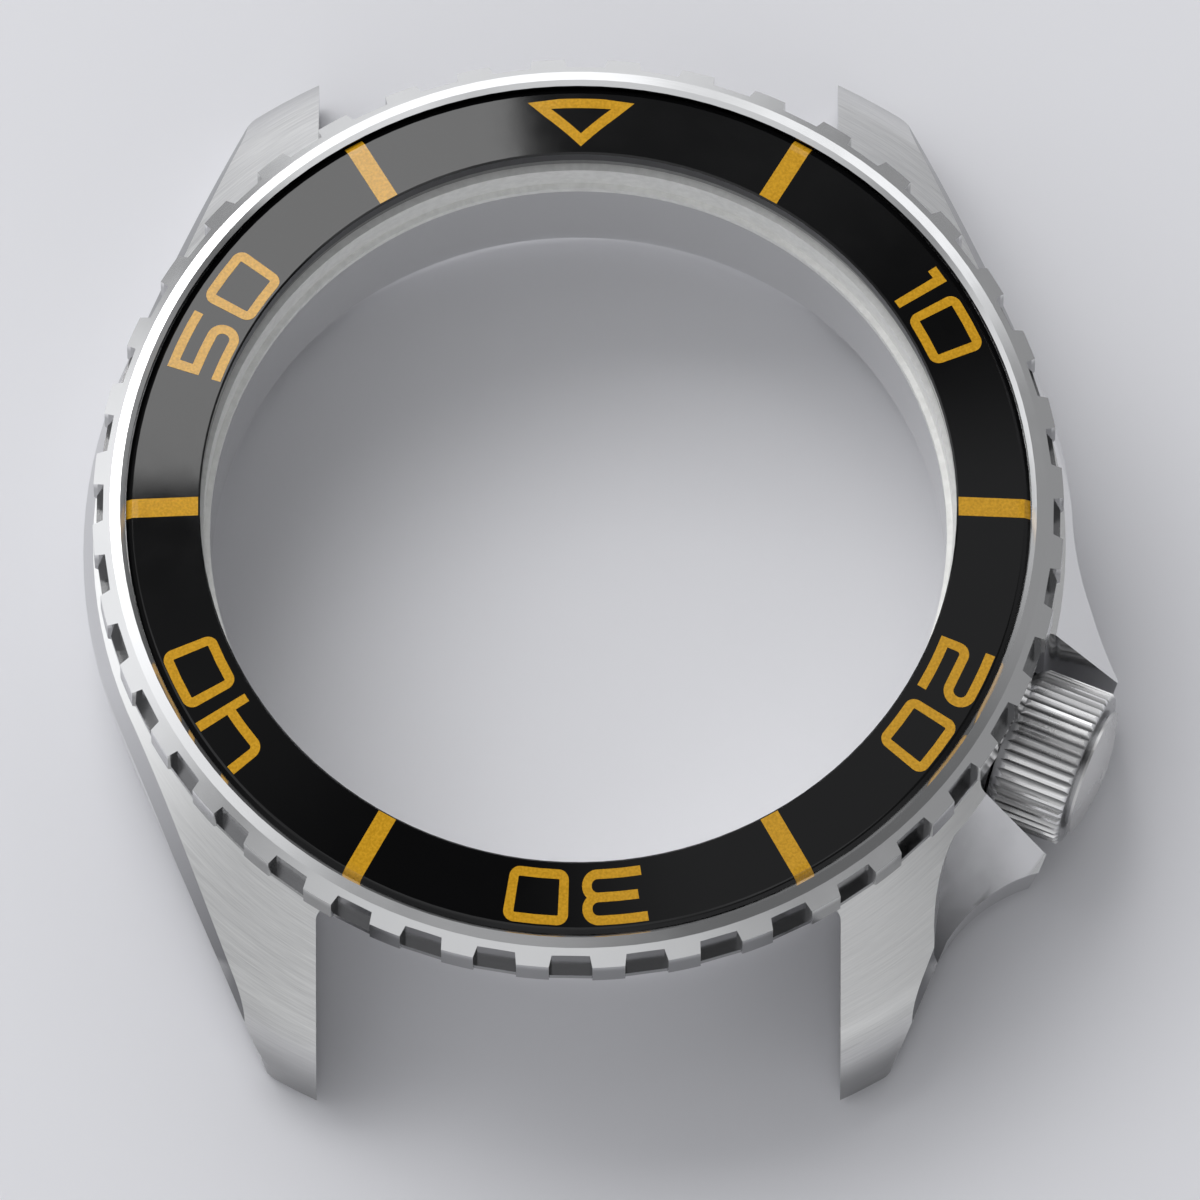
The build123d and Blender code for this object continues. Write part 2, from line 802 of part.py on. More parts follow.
with BuildPart() as crown_head:
    with BuildSketch(crown_side):
        with BuildLine():
            Polyline(
                (head_in_x, head_bore_r),
                (head_in_x, head_r - head_in_chamfer),
                (head_in_x + head_in_len, head_r),
                (knurl_out_x - head_chamfer, head_r),
                (knurl_out_x, head_r - head_chamfer),
                (knurl_out_x, head_bore_r),
                close=True,
            )
        make_face()
    revolve(axis=crown_axis)
    add(head_grip.part, mode=Mode.INTERSECT)
    with BuildSketch(crown_side):
        with BuildLine():
            Polyline(
                (washer_x + washer_t, sleeve_in_r),
                (washer_x + washer_t, sleeve_out_r),
                (ceiling_x, sleeve_out_r),
                (ceiling_x, head_bore_r),
                (knurl_out_x, head_bore_r),
                (knurl_out_x, undercut_r),
                (cap_in_x, undercut_r),
                (cap_in_x, cap_r),
                (dome_x, cap_r),
            )
            ThreePointArc((dome_x, cap_r), dome_mid, (dome_x + cap_rise, 0))
            Polyline(
                (dome_x + cap_rise, 0),
                (ceiling_x, 0),
                (ceiling_x, sleeve_in_r),
                (washer_x + washer_t, sleeve_in_r),
            )
        make_face()
    revolve(axis=crown_axis)
    with BuildSketch(crown_station(crown_gasket_x)):
        Circle(crown_gasket_out_r)
        Circle(sleeve_out_r, mode=Mode.SUBTRACT)
    extrude(amount=crown_gasket_w, mode=Mode.SUBTRACT)
crown_head.part.label = "crown_head"

# Gasket in the crown, round the tube
with BuildPart() as crown_gasket:
    with BuildSketch(crown_station(crown_gasket_x)):
        Circle(crown_gasket_out_r)
        Circle(head_bore_r - tube_gasket_gap, mode=Mode.SUBTRACT)
    extrude(amount=crown_gasket_w)
crown_gasket.part.label = "crown_gasket"

# Washer that keeps the post in the sleeve
with BuildPart() as crown_washer:
    with BuildSketch(crown_station(washer_x)):
        Circle(sleeve_out_r)
        Circle(post_r + tube_gasket_gap, mode=Mode.SUBTRACT)
    extrude(amount=washer_t)
crown_washer.part.label = "crown_washer"

# Crown spring, pressed short between the post and the ceiling of the crown
spring_in_x = post_flange_x + post_flange_t
spring_len = ceiling_x - spring_in_x
spring_r = sleeve_in_r - spring_wire_r * 3
with BuildPart() as crown_spring:
    spring_rise = spring_len - spring_wire_r * 2
    spring_foot = crown_origin + crown_dir * (spring_in_x + spring_wire_r)
    with BuildLine() as spring_line:
        Helix(
            pitch=spring_rise / spring_turns,
            height=spring_rise,
            radius=spring_r,
            center=spring_foot,
            direction=crown_dir,
        )
    with BuildSketch(spring_line.line ^ 0):
        RegularPolygon(radius=spring_wire_r, side_count=6)
    sweep(path=spring_line.line, is_frenet=True)
crown_spring.part.label = "crown_spring"

# Each piece is written under its own name
os.makedirs("parts", exist_ok=True)
export_step(mid_case.part, "parts/mid_case.step")
export_step(crown_tube.part, "parts/crown_tube.step")
export_step(tube_gasket.part, "parts/tube_gasket.step")
export_step(click_spring.part, "parts/click_spring.step")
export_step(bezel_gasket.part, "parts/bezel_gasket.step")
export_step(crystal_gasket.part, "parts/crystal_gasket.step")
export_step(back_gasket.part, "parts/back_gasket.step")
export_step(bezel_ring.part, "parts/bezel_ring.step")
export_step(bezel_insert.part, "parts/bezel_insert.step")
export_step(insert_tape.part, "parts/insert_tape.step")
export_step(crown_post.part, "parts/crown_post.step")
export_step(crown_head.part, "parts/crown_head.step")
export_step(crown_gasket.part, "parts/crown_gasket.step")
export_step(crown_washer.part, "parts/crown_washer.step")
export_step(crown_spring.part, "parts/crown_spring.step")
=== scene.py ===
from math import atan, cos, pi, radians, sin
from types import SimpleNamespace

import bpy
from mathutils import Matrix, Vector


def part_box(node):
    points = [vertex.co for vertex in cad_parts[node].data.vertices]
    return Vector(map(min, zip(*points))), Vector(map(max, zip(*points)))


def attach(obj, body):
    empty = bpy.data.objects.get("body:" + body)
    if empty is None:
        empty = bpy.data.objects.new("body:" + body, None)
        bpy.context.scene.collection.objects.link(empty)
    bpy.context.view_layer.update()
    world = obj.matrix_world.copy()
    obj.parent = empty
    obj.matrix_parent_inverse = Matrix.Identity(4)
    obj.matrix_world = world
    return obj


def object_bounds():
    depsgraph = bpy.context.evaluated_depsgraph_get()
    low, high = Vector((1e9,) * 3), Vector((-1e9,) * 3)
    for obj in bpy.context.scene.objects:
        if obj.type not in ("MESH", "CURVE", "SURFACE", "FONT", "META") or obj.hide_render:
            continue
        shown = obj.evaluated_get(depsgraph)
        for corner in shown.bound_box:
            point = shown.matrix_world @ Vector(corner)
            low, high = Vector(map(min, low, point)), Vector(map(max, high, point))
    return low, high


# Empty diver's watch case: finishes of the steel, the printed minute scale, light and camera
# Blender works in metres; sizes below are written in millimetres times MM.
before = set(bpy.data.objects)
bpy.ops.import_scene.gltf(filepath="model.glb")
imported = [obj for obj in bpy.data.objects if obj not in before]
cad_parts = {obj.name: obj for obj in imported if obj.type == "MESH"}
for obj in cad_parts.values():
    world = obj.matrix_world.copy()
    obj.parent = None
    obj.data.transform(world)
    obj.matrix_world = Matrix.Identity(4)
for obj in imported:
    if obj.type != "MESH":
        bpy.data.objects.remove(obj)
cad_low, cad_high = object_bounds()
MM = 0.001

# Insert: its printed face falls from a crest at the bore to a bevelled outer edge
insert_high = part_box("bezel_insert")[1]
CREST_Z = insert_high.z
CREST_R = 15.965 * MM
FACE_EDGE_R = 18.72 * MM
FACE_FALL = 0.3 * MM
RIM_R = insert_high.x
RIM_FALL = 0.22 * MM

# Print of the minute scale
INK_LIFT = 0.012 * MM
INK_ROOT = 0.01 * MM
INK_STEP = 0.002 * MM
INK_FACET = 0.3 * MM
CORNER_CLEAR = 0.6 * MM
SCALE_R = 17.45 * MM
BAR_W = 0.83 * MM
BAR_MINUTES = (5, 15, 25, 35, 45, 55)
BAR_STATIONS = 12

# Digits: centre lines inside a box of this width and height, square strokes
DIGIT_W = 2.2 * MM
DIGIT_H = 1.98 * MM
STROKE_W = 0.41 * MM
DIGIT_GAP = 0.99 * MM
BOWL_R = 0.47 * MM
ZERO_CORNER_R = 0.25 * MM
SOFT_CORNER_R = 0.34 * MM
ONE_FLAG = 0.55 * MM
THREE_NOTCH = 0.05 * MM
THREE_WAIST_SHARE = 0.6
MIDDLE = DIGIT_H * 0.5
CROSSBAR = DIGIT_H * 0.34
ARC_STEPS = 8
MITRE_LIMIT = 1.75
MITRE_LEAST = 0.01

# Triangle at zero, its corners on the centre line of the outline
TRIANGLE_W = 0.44 * MM
TRIANGLE_HALF = 1.78 * MM
TRIANGLE_TOP_R = 18.25 * MM
TRIANGLE_TIP_R = 16.53 * MM
TRIANGLE_SHIFT = 0.11 * MM

# Places on the case where its finish changes, and where painted light and shade change on the flanks,
# in the guards' hollow and on the bore wall; and how wide the change is
SHOULDER_R = 23.4 * MM
SHOULDER_BLEND = 0.2 * MM
FLANK_DARK_Y = -18.0 * MM
FLANK_LIGHT_Y = -6.0 * MM
FLANK_FADE_Y = 6.0 * MM
FLANK_PLAIN_Y = 12.0 * MM
HOLLOW_LOW = 1.0 * MM
HOLLOW_HIGH = 8.5 * MM
HOLLOW_SLANT = 0.8
BORE_EDGE_R = 16.6 * MM
EDGE_BLEND = 0.05 * MM

# Height of the case's normal between which one finish gives way to the next; for the lug ends and the
# sides, between which painted shade comes in
LUG_TOP_TILT = (0.68, 0.74)
LUG_END_SHADE_TILT = (0.75, 0.1)
UNDERSIDE_TILT = (-0.5, -0.6)
GUARD_TILT = (0.48, 0.54)
SIDE_SHADE_TILT = (0.3, 0.2)
LUG_END_TURN = (0.86, 0.9)

# Places on the bezel and on the crown where the finish changes, and where painted shade falls below
# the grips, on the notch walls and in the knurl's roots, with painted highlight on its lands
GRIP_Z = 10.0 * MM
GRIP_FALL = 0.6 * MM
RIM_INSIDE_R = 20.25 * MM
NOTCH_SHADE_TILT = (0.4, 0.3)
CROWN_Z = 2.65 * MM
CROWN_ANGLE = radians(-22.5)
CROWN_DIR = Vector((cos(CROWN_ANGLE), sin(CROWN_ANGLE)))
KNURL_LAND_R = 3.35 * MM
KNURL_ROOT_R = 3.22 * MM
KNURL_END_X = 23.36 * MM
KNURL_END_BLEND = 0.01 * MM

# Span of a noise's values that counts, so that its rare extremes don't show
NOISE_SPAN = (0.35, 0.65)
STREAK_SPAN = (0.36, 0.64)

# Camera at the photograph's angle: far away and long, so nearly without perspective
CAMERA_ELEVATION = 69.4
CAMERA_DISTANCE = 1.44
CAMERA_AIM = Vector((0.91, -4.21, 10.6)) * MM
FIELD_W = 50.31 * MM
SENSOR_W = 36.0
CLIP_START = 0.01

# Floor and light, in metres and as strengths
FLOOR_HALF = 1.5
DOME = 0.32


# Node graphs
def node(tree, kind, inputs=None, **settings):
    made = tree.nodes.new("ShaderNode" + kind)
    for key, value in settings.items():
        setattr(made, key, value)
    for key, value in (inputs or {}).items():
        if isinstance(value, bpy.types.NodeSocket):
            tree.links.new(value, made.inputs[key])
        else:
            made.inputs[key].default_value = value
    return made


def maths(tree, operation, first, second=0.0):
    return node(tree, "Math", {0: first, 1: second}, operation=operation).outputs[0]


def times(tree, first, second):
    return maths(tree, "MULTIPLY", first, second)


def plus(tree, first, second):
    return maths(tree, "ADD", first, second)


def length(tree, first, second):
    return maths(tree, "SQRT", plus(tree, times(tree, first, first), times(tree, second, second)))


def ramp(tree, value, low, high, start=0.0, end=1.0, smooth=True):
    kind = "SMOOTHSTEP" if smooth else "LINEAR"
    inputs = {"Value": value, "From Min": low, "From Max": high, "To Min": start, "To Max": end}
    return node(tree, "MapRange", inputs, interpolation_type=kind).outputs[0]


def mix_colors(tree, factor, first, second):
    inputs = {0: factor}
    for key, value in ((6, first), (7, second)):
        inputs[key] = value if isinstance(value, bpy.types.NodeSocket) else (*value, 1.0)
    return node(tree, "Mix", inputs, data_type="RGBA").outputs[2]


def new_material(name, base, metallic, roughness):
    material = bpy.data.materials.new(name)
    material.use_nodes = True
    shader = material.node_tree.nodes["Principled BSDF"]
    shader.inputs["Base Color"].default_value = (*base, 1.0)
    shader.inputs["Metallic"].default_value = metallic
    shader.inputs["Roughness"].default_value = roughness
    return material, material.node_tree, shader


# Place on the object, and the terms that turned surfaces need
def turned_terms(tree):
    where = node(tree, "TexCoord")
    x, y, z = node(tree, "SeparateXYZ", {0: where.outputs["Object"]}).outputs
    nx, ny, nz = node(tree, "SeparateXYZ", {0: where.outputs["Normal"]}).outputs
    radius = length(tree, x, y)
    along = plus(tree, times(tree, nx, x), times(tree, ny, y))
    return SimpleNamespace(
        place=where.outputs["Object"], x=x, y=y, z=z, up=nz, radius=radius,
        angle=maths(tree, "ARCTAN2", y, x), outwards=maths(tree, "DIVIDE", along, radius))


# Fine brushing that runs round the case: quick across the strokes, slow along them
def brush_noise(tree, terms, density, slowness):
    inputs = {
        0: times(tree, maths(tree, "SUBTRACT", terms.radius, terms.z), density),
        1: times(tree, maths(tree, "COSINE", terms.angle), slowness),
        2: times(tree, maths(tree, "SINE", terms.angle), slowness),
    }
    vector = node(tree, "CombineXYZ", inputs).outputs[0]
    noise = node(tree, "TexNoise", {"Vector": vector, "Scale": 1.0, "Detail": 3.0, "Roughness": 0.65})
    return noise.outputs[0]


def plain_noise(tree, place, scale, detail=3.0):
    return node(tree, "TexNoise", {"Vector": place, "Scale": scale, "Detail": detail}).outputs[0]


def spread(tree, noise, low=0.0, high=1.0):
    return ramp(tree, noise, *NOISE_SPAN, low, high, smooth=False)


# Roughness that wanders between two values
def add_haze(tree, shader, place, scale, low, high):
    haze = spread(tree, plain_noise(tree, place, scale), low, high)
    tree.links.new(haze, shader.inputs["Roughness"])


def add_bump(tree, shader, height, strength, distance):
    inputs = {"Height": height, "Strength": strength, "Distance": distance}
    tree.links.new(node(tree, "Bump", inputs).outputs[0], shader.inputs["Normal"])


# Steel of the middle case: brushed lug tops, lug ends and underside, polished bevels, guards and
# sides. Painted light and shade: the flanks are lighter about the middle, the bevel darkens towards
# the lower lugs, the guards darken into their hollow, the lug ends and sides darken where they turn
# from the light, and the bore wall is painted paler.
def case_steel():
    material, tree, shader = new_material("case_steel", (0.7, 0.7, 0.69), 1.0, 0.3)
    terms = turned_terms(tree)
    fine = brush_noise(tree, terms, density=17000.0, slowness=11.0)
    broad = brush_noise(tree, terms, density=6000.0, slowness=5.0)
    streaks = plus(tree, times(tree, fine, 0.65), times(tree, broad, 0.35))

    lug_top = ramp(tree, terms.up, *LUG_TOP_TILT)
    sideways = maths(tree, "SUBTRACT", 1.0, times(tree, terms.up, terms.up))
    turned = maths(tree, "DIVIDE", times(tree, terms.outwards, terms.outwards), sideways)
    past_shoulder = ramp(tree, terms.radius, SHOULDER_R - SHOULDER_BLEND, SHOULDER_R)
    lug_end = times(tree, past_shoulder, ramp(tree, turned, *LUG_END_TURN))
    underside = ramp(tree, terms.up, *UNDERSIDE_TILT)
    brushed = maths(tree, "MAXIMUM", maths(tree, "MAXIMUM", lug_top, lug_end), underside)

    brushed_rough = ramp(tree, streaks, 0.3, 0.7, 0.27, 0.42, smooth=False)
    haze = spread(tree, plain_noise(tree, terms.place, 500.0), 0.11, 0.17)
    rough = node(tree, "Mix", {0: brushed, 2: haze, 3: brushed_rough}, data_type="FLOAT").outputs[0]
    tree.links.new(rough, shader.inputs["Roughness"])

    # Painted light and shade along the flanks: light about the middle, dark towards the lugs
    flank_painted_light = times(tree, ramp(tree, terms.y, FLANK_DARK_Y, FLANK_LIGHT_Y, smooth=False),
                        ramp(tree, terms.y, FLANK_PLAIN_Y, FLANK_FADE_Y))
    light = ramp(tree, streaks, *STREAK_SPAN, smooth=False)
    brushed_tint_and_painted_light = mix_colors(tree, light, (0.64, 0.64, 0.635), (0.82, 0.82, 0.81))
    # Painted shade: the lug ends darken as they turn down from the light
    lug_end_painted_shade = ramp(tree, terms.up, *LUG_END_SHADE_TILT)
    brushed_tint_and_painted_light = mix_colors(tree, lug_end_painted_shade, brushed_tint_and_painted_light, (0.4, 0.4, 0.4))
    brushed_tint_and_painted_light = mix_colors(tree, flank_painted_light, brushed_tint_and_painted_light, (0.97, 0.97, 0.96))

    # Painted shade on the polished bevel towards the lugs
    polished_tint_and_painted_light = mix_colors(tree, flank_painted_light, (0.2, 0.2, 0.205), (0.7, 0.7, 0.705))
    # Painted shade: sides that face away from the light are darker
    side_painted_shade = ramp(tree, terms.up, *SIDE_SHADE_TILT)
    polished_tint_and_painted_light = mix_colors(tree, side_painted_shade, polished_tint_and_painted_light, (0.58, 0.58, 0.585))
    # Painted shade: the guards darken into their hollow
    from_hollow = plus(tree, terms.x, times(tree, terms.y, HOLLOW_SLANT))
    clear_of_hollow_shade = ramp(tree, from_hollow, HOLLOW_LOW, HOLLOW_HIGH, smooth=False)
    guard_painted_shade_tint = mix_colors(tree, clear_of_hollow_shade, (0.15, 0.15, 0.155), (0.74, 0.74, 0.74))
    polished_tint_and_painted_light = mix_colors(tree, ramp(tree, terms.up, *GUARD_TILT), polished_tint_and_painted_light, guard_painted_shade_tint)

    tint = mix_colors(tree, brushed, polished_tint_and_painted_light, brushed_tint_and_painted_light)
    # Painted light: the bore wall is tinted paler against its shade
    bore_painted_light = ramp(tree, terms.radius, BORE_EDGE_R + EDGE_BLEND, BORE_EDGE_R)
    tint = mix_colors(tree, bore_painted_light, tint, (0.86, 0.86, 0.86))
    tree.links.new(tint, shader.inputs["Base Color"])
    add_bump(tree, shader, times(tree, streaks, brushed), 0.3, 0.008 * MM)
    return material


# Polished steel of the bezel: turned grain, with painted shade below the grips and on the notch
# walls, so darker in the notches than on the grips
def bezel_steel():
    material, tree, shader = new_material("bezel_steel", (0.76, 0.76, 0.76), 1.0, 0.14)
    terms = turned_terms(tree)
    grain = brush_noise(tree, terms, density=14000.0, slowness=9.0)
    haze = spread(tree, plain_noise(tree, terms.place, 700.0), 0.1, 0.17)
    tree.links.new(plus(tree, haze, times(tree, grain, 0.05)), shader.inputs["Roughness"])
    # Painted shade: the bezel darkens below the grips
    below_grips_painted_shade = ramp(tree, terms.z, GRIP_Z, GRIP_Z - GRIP_FALL)
    tint = mix_colors(tree, below_grips_painted_shade, (0.8, 0.8, 0.8), (0.42, 0.42, 0.425))
    # Painted shade on the notch walls
    inside_rim = ramp(tree, terms.radius, RIM_INSIDE_R, RIM_INSIDE_R - EDGE_BLEND)
    notch_wall_painted_shade = times(tree, ramp(tree, terms.up, *NOTCH_SHADE_TILT), inside_rim)
    tint = mix_colors(tree, notch_wall_painted_shade, tint, (0.34, 0.34, 0.345))
    tree.links.new(tint, shader.inputs["Base Color"])
    add_bump(tree, shader, grain, 0.1, 0.004 * MM)
    return material


# Steel of the crown: bright cap, a painted highlight on the lands and painted shade in the roots
# between the flutes
def crown_steel():
    material, tree, shader = new_material("crown_steel", (0.75, 0.74, 0.73), 1.0, 0.16)
    place = node(tree, "TexCoord").outputs["Object"]
    x, y, z = node(tree, "SeparateXYZ", {0: place}).outputs
    across = plus(tree, times(tree, x, -CROWN_DIR.y), times(tree, y, CROWN_DIR.x))
    from_axis = length(tree, across, maths(tree, "SUBTRACT", z, CROWN_Z))
    outwards = plus(tree, times(tree, x, CROWN_DIR.x), times(tree, y, CROWN_DIR.y))
    # Painted highlight on the lands and painted shade in the roots between the flutes
    root_painted_shade = ramp(tree, from_axis, KNURL_LAND_R, KNURL_ROOT_R)
    on_knurl = ramp(tree, outwards, KNURL_END_X + KNURL_END_BLEND, KNURL_END_X - KNURL_END_BLEND)
    knurl_painted_light_and_shade = mix_colors(tree, root_painted_shade, (0.98, 0.975, 0.97), (0.5, 0.5, 0.505))
    tint = mix_colors(tree, on_knurl, (0.64, 0.635, 0.63), knurl_painted_light_and_shade)
    tree.links.new(tint, shader.inputs["Base Color"])
    add_haze(tree, shader, place, 900.0, 0.26, 0.34)
    add_bump(tree, shader, plain_noise(tree, place, 4000.0, 2.0), 0.06, 0.004 * MM)
    return material


# Plain machined steel of the pieces inside
def inner_steel(name, base, low, high):
    material, tree, shader = new_material(name, base, 1.0, low)
    place = node(tree, "TexCoord").outputs["Object"]
    grain = plain_noise(tree, place, 3000.0)
    tree.links.new(spread(tree, grain, low, high), shader.inputs["Roughness"])
    add_bump(tree, shader, grain, 0.15, 0.004 * MM)
    return material


# Glossy black of the insert, smooth as lacquer, with faint dust in the gloss
def insert_black():
    material, tree, shader = new_material("insert_gloss", (0.002, 0.002, 0.0022), 0.0, 0.06)
    place = node(tree, "TexCoord").outputs["Object"]
    add_haze(tree, shader, place, 600.0, 0.05, 0.08)
    add_bump(tree, shader, plain_noise(tree, place, 9000.0, 2.0), 0.03, 0.003 * MM)
    return material


# Gold print: grainy pigment under the same gloss
def gold_print():
    material, tree, shader = new_material("gold_print", (0.68, 0.36, 0.03), 0.0, 0.08)
    place = node(tree, "TexCoord").outputs["Object"]
    grain = plain_noise(tree, place, 9000.0, 4.0)
    pigment = mix_colors(tree, spread(tree, grain), (0.55, 0.28, 0.012), (0.72, 0.38, 0.022))
    tree.links.new(pigment, shader.inputs["Base Color"])
    shader.inputs["Specular IOR Level"].default_value = 0.5
    add_bump(tree, shader, grain, 0.12, 0.004 * MM)
    return material


# Soft pieces: tape, rubber and nylon
def soft_surface(name, base, light, roughness, scale):
    material, tree, shader = new_material(name, base, 0.0, roughness)
    place = node(tree, "TexCoord").outputs["Object"]
    grain = plain_noise(tree, place, scale)
    tint = mix_colors(tree, spread(tree, grain), base, light)
    tree.links.new(tint, shader.inputs["Base Color"])
    add_bump(tree, shader, grain, 0.2, 0.006 * MM)
    return material


inner = inner_steel("inner_steel", (0.66, 0.66, 0.66), 0.22, 0.34)
spring = inner_steel("spring_steel", (0.55, 0.55, 0.54), 0.26, 0.4)
rubber = soft_surface("gasket_rubber", (0.02, 0.02, 0.02), (0.035, 0.035, 0.035), 0.55, 5000.0)
finishes = {
    "mid_case": case_steel(),
    "bezel_ring": bezel_steel(),
    "crown_head": crown_steel(),
    "bezel_insert": insert_black(),
    "insert_tape": soft_surface("tape", (0.8, 0.79, 0.75), (0.88, 0.87, 0.83), 0.7, 4000.0),
    "crystal_gasket": soft_surface("gasket_nylon", (0.82, 0.82, 0.8), (0.9, 0.9, 0.88), 0.4, 3000.0),
    "bezel_gasket": rubber,
    "back_gasket": rubber,
    "tube_gasket": rubber,
    "crown_gasket": rubber,
    "crown_tube": inner,
    "crown_post": inner,
    "crown_washer": inner,
    "click_spring": spring,
    "crown_spring": spring,
}
for name, finish in finishes.items():
    for material_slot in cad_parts[name].material_slots:
        material_slot.material = finish


# Height of the insert's face at a radius
def face_z(radius):
    if radius < FACE_EDGE_R:
        return CREST_Z - FACE_FALL * max(radius - CREST_R, 0.0) / (FACE_EDGE_R - CREST_R)
    return CREST_Z - FACE_FALL - RIM_FALL * (radius - FACE_EDGE_R) / (RIM_R - FACE_EDGE_R)


# Point over the face, the angle clockwise from zero minutes
def on_face(angle, radius, lift):
    return (radius * sin(angle), radius * cos(angle), face_z(radius) + lift)


# Centre line with rounded corners, from corners given as (x, y, corner radius)
def rounded_path(corners, closed):
    count = len(corners)
    points = []
    for index, (x, y, corner_r) in enumerate(corners):
        here = Vector((x, y))
        if corner_r == 0 or (not closed and index in (0, count - 1)):
            points.append(here)
            continue
        before = (Vector(corners[index - 1][:2]) - here).normalized()
        after = (Vector(corners[(index + 1) % count][:2]) - here).normalized()
        half_angle = before.angle(after) / 2
        middle = here + (before + after).normalized() * (corner_r / sin(half_angle))
        reach = corner_r * cos(half_angle) / sin(half_angle)
        start, end = here + before * reach - middle, here + after * reach - middle
        turn = start.angle_signed(end)
        for step in range(ARC_STEPS + 1):
            share = -turn * step / ARC_STEPS
            points.append(middle + Vector((start.x * cos(share) - start.y * sin(share),
                                           start.x * sin(share) + start.y * cos(share))))
    return points


# Adds stations so that long runs follow the curve of the face, clear of the mitred corners
def fine_path(points, closed):
    ends = points[1:] + points[:1] if closed else points[1:]
    stations = []
    for start, end in zip(points, ends):
        run = (end - start).length
        count = max(1, round(run / INK_FACET))
        for step in range(count):
            along = run * step / count
            if step == 0 or CORNER_CLEAR < along < run - CORNER_CLEAR:
                stations.append(start.lerp(end, step / count))
    return stations if closed else stations + [points[-1]]


# The two edges of a stroke of one width along a centre line
def stroke_edges(points, width, closed):
    lefts, rights = [], []
    last = len(points) - 1
    for index, here in enumerate(points):
        into = here - points[index - 1] if closed or index > 0 else points[1] - here
        out = points[(index + 1) % len(points)] - here if closed or index < last else into
        side_in = Vector((-into.y, into.x)).normalized()
        side_out = Vector((-out.y, out.x)).normalized()
        mitre = (side_in + side_out).normalized()
        reach = width / 2 / max(mitre.dot(side_in), MITRE_LEAST)
        outer = min(reach, width / 2 * MITRE_LIMIT)
        turns_left = into.x * out.y - into.y * out.x > 0
        lefts.append(here + mitre * (reach if turns_left else outer))
        rights.append(here - mitre * (outer if turns_left else reach))
    return lefts, rights


# A thin layer of ink between two edges, as one closed strip
def ink_strip(vertices, faces, edges, closed, lift):
    first = len(vertices)
    count = len(edges)
    for left, right in edges:
        for angle, radius in (left, right):
            vertices.append(on_face(angle, radius, lift))
            vertices.append(on_face(angle, radius, -INK_ROOT))
    for index in range(count if closed else count - 1):
        a = first + 4 * index
        b = first + 4 * ((index + 1) % count)
        faces += [(a, a + 2, b + 2, b), (a + 1, b + 1, b + 3, a + 3),
                  (a, b, b + 1, a + 1), (a + 2, a + 3, b + 3, b + 2)]
    if not closed:
        end = first + 4 * (count - 1)
        faces += [(first, first + 1, first + 3, first + 2), (end, end + 2, end + 3, end + 1)]


def ink_piece(name, strips):
    vertices, faces = [], []
    for index, (edges, closed) in enumerate(strips):
        ink_strip(vertices, faces, edges, closed, INK_LIFT - index * INK_STEP)
    mesh = bpy.data.meshes.new(name)
    mesh.from_pydata(vertices, [], faces)
    mesh.validate()
    mesh.materials.append(gold)
    piece = bpy.data.objects.new(name, mesh)
    bpy.context.scene.collection.objects.link(piece)
    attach(piece, "bezel")
    return piece


# A stroke laid round the scale: x runs clockwise along the arc, y outwards
def scale_stroke(corners, minute, width, closed=False):
    points = fine_path(rounded_path(corners, closed), closed)
    lefts, rights = stroke_edges(points, width, closed)
    middle = 2 * pi * minute / 60
    edges = []
    for left, right in zip(lefts, rights):
        edges.append(((middle + left.x / SCALE_R, left.y), (middle + right.x / SCALE_R, right.y)))
    return edges, closed


# Open strokes of each digit, as corners (x, y, corner radius) from its lower left
digit_strokes = {
    "1": [[(-ONE_FLAG, DIGIT_H, 0), (0, DIGIT_H, 0), (0, -STROKE_W / 2, 0)]],
    "2": [[(-STROKE_W / 2, DIGIT_H, 0), (DIGIT_W, DIGIT_H, BOWL_R), (DIGIT_W, MIDDLE, BOWL_R),
           (0, MIDDLE, SOFT_CORNER_R), (0, 0, 0), (DIGIT_W + STROKE_W / 2, 0, 0)]],
    "3": [[(-STROKE_W / 2, DIGIT_H, 0), (DIGIT_W, DIGIT_H, BOWL_R), (DIGIT_W, MIDDLE, BOWL_R),
           (THREE_NOTCH, MIDDLE, 0)],
          [(DIGIT_W * THREE_WAIST_SHARE, MIDDLE, 0), (DIGIT_W, MIDDLE, BOWL_R), (DIGIT_W, 0, BOWL_R),
           (-STROKE_W / 2, 0, 0)]],
    "4": [[(0, DIGIT_H + STROKE_W / 2, 0), (0, CROSSBAR, SOFT_CORNER_R), (DIGIT_W, CROSSBAR, 0)],
          [(DIGIT_W, DIGIT_H + STROKE_W / 2, 0), (DIGIT_W, -STROKE_W / 2, 0)]],
    "5": [[(DIGIT_W + STROKE_W / 2, DIGIT_H, 0), (0, DIGIT_H, 0), (0, MIDDLE, 0),
           (DIGIT_W, MIDDLE, BOWL_R), (DIGIT_W, 0, BOWL_R), (-STROKE_W / 2, 0, 0)]],
}
zero_stroke = [(0, 0, ZERO_CORNER_R), (DIGIT_W, 0, ZERO_CORNER_R),
               (DIGIT_W, DIGIT_H, ZERO_CORNER_R), (0, DIGIT_H, ZERO_CORNER_R)]

# Numerals: minute, first digit, radius of the middle of the print, shift along the scale
numerals = (
    (10, "1", 17.38 * MM, -0.75 * MM),
    (20, "2", 17.49 * MM, 0.1 * MM),
    (30, "3", 17.45 * MM, 0.12 * MM),
    (40, "4", 17.5 * MM, 0.0),
    (50, "5", 17.24 * MM, -0.04 * MM),
)
gold = gold_print()


def moved(corners, dx, dy):
    return [(x + dx, y + dy, corner_r) for x, y, corner_r in corners]


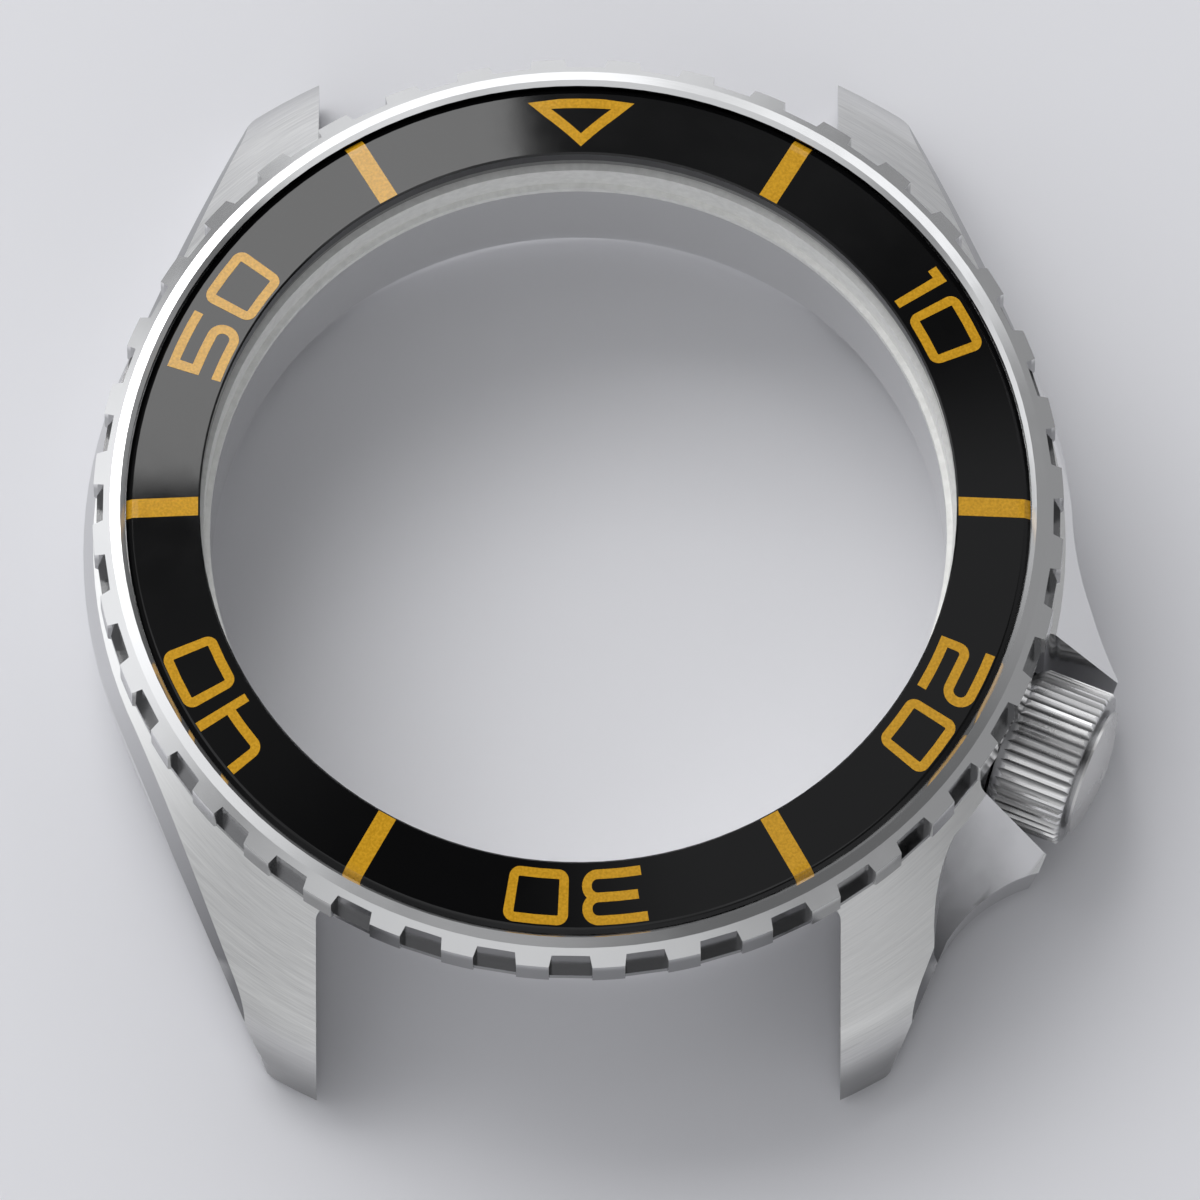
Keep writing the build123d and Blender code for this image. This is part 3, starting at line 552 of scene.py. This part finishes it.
for minute, digit, middle_r, shift in numerals:
    foot = middle_r - DIGIT_H / 2
    zero_x = shift + DIGIT_GAP / 2
    first_x = zero_x - DIGIT_GAP if digit == "1" else zero_x - DIGIT_GAP - DIGIT_W
    strips = [scale_stroke(moved(zero_stroke, zero_x, foot), minute, STROKE_W, closed=True)]
    for path in digit_strokes[digit]:
        strips.append(scale_stroke(moved(path, first_x, foot), minute, STROKE_W))
    ink_piece(f"numeral_{minute}", strips)

triangle = [(-TRIANGLE_HALF, TRIANGLE_TOP_R, 0), (0, TRIANGLE_TIP_R, 0),
            (TRIANGLE_HALF, TRIANGLE_TOP_R, 0)]
shifted = moved(triangle, TRIANGLE_SHIFT, 0)
ink_piece("triangle_0", [scale_stroke(shifted, 0, TRIANGLE_W, closed=True)])

# Bars with parallel sides, from the crest of the bore to the outer edge
for minute in BAR_MINUTES:
    middle = 2 * pi * minute / 60
    edges = []
    for station in range(BAR_STATIONS + 1):
        radius = CREST_R + (RIM_R - INK_LIFT - CREST_R) * station / BAR_STATIONS
        half = atan(BAR_W / 2 / radius)
        edges.append(((middle - half, radius), (middle + half, radius)))
    ink_piece(f"bar_{minute:02d}", [(edges, False)])

# Pale floor under the lug ends
floor_mesh = bpy.data.meshes.new("floor")
floor_signs = ((-1, -1), (1, -1), (1, 1), (-1, 1))
floor_points = [(x * FLOOR_HALF, y * FLOOR_HALF, cad_low.z) for x, y in floor_signs]
floor_mesh.from_pydata(floor_points, [], [(0, 1, 2, 3)])
floor = bpy.data.objects.new("floor", floor_mesh)
bpy.context.scene.collection.objects.link(floor)
floor_mesh.materials.append(new_material("floor_pale", (0.82, 0.82, 0.85), 0.0, 0.85)[0])

# World: an even dome, darker overhead, with soft panels of light. Each panel has a direction,
# the cosines of its outer and inner edge, and a strength
world = bpy.data.worlds.new("studio")
bpy.context.scene.world = world
world.use_nodes = True
sky = world.node_tree
direction = node(sky, "TexCoord").outputs["Generated"]
panels = (
    ((0.05, 0.2, 0.978), 0.88, 0.97, -0.27),
    ((0.35, -0.15, 0.925), 0.9, 0.98, -0.17),
    ((0.9, -0.42, 0.0), 0.93, 0.985, -0.2),
    ((-0.2, -0.85, 0.45), 0.65, 0.95, 0.4),
    ((0.62, -0.68, 0.38), 0.93, 0.985, 0.5),
    ((-0.2, 0.8, 0.56), 0.934, 0.966, 1.0),
    ((0.27, 0.7, 0.66), 0.95, 0.983, 0.85),
    ((-0.1, 0.99, 0.05), 0.883, 0.978, 0.5),
    ((-0.9, 0.25, 0.4), 0.788, 0.978, 0.7),
    ((-0.5, 0.1, 0.86), 0.914, 0.99, 0.6),
    ((0.16, 0.24, 0.957), 0.974, 0.992, 0.37),
)
radiance = DOME
for toward, outer, inner_edge, strength in panels:
    inputs = {0: direction, 1: Vector(toward).normalized()}
    facing = node(sky, "VectorMath", inputs, operation="DOT_PRODUCT").outputs["Value"]
    radiance = maths(sky, "ADD", ramp(sky, facing, outer, inner_edge, 0.0, strength), radiance)
background = sky.nodes["Background"]
background.inputs["Color"].default_value = (0.97, 0.98, 1.0, 1.0)
sky.links.new(radiance, background.inputs["Strength"])


# Soft box in a level plane over the object, given by its edges in metres
def soft_box(name, west, east, south, north, height, radiance):
    lamp = bpy.data.lights.new(name, "AREA")
    lamp.shape = "RECTANGLE"
    lamp.size = east - west
    lamp.size_y = north - south
    lamp.energy = radiance * pi * lamp.size * lamp.size_y
    box = bpy.data.objects.new(name, lamp)
    box.location = ((west + east) / 2, (south + north) / 2, height)
    bpy.context.scene.collection.objects.link(box)


soft_box("soft_box_upper_left", west=-0.6, east=-0.02, south=0.2, north=0.6, height=0.5, radiance=3.7)

# Camera
camera_data = bpy.data.cameras.new("camera")
camera_data.sensor_width = SENSOR_W
camera_data.lens = SENSOR_W * CAMERA_DISTANCE / FIELD_W
camera_data.clip_start = CLIP_START
camera = bpy.data.objects.new("camera", camera_data)
elevation = radians(CAMERA_ELEVATION)
camera.location = CAMERA_AIM + Vector((0, -cos(elevation), sin(elevation))) * CAMERA_DISTANCE
camera.rotation_euler = (pi / 2 - elevation, 0, 0)
bpy.context.scene.collection.objects.link(camera)
bpy.context.scene.camera = camera
bpy.context.scene.view_settings.view_transform = "Standard"
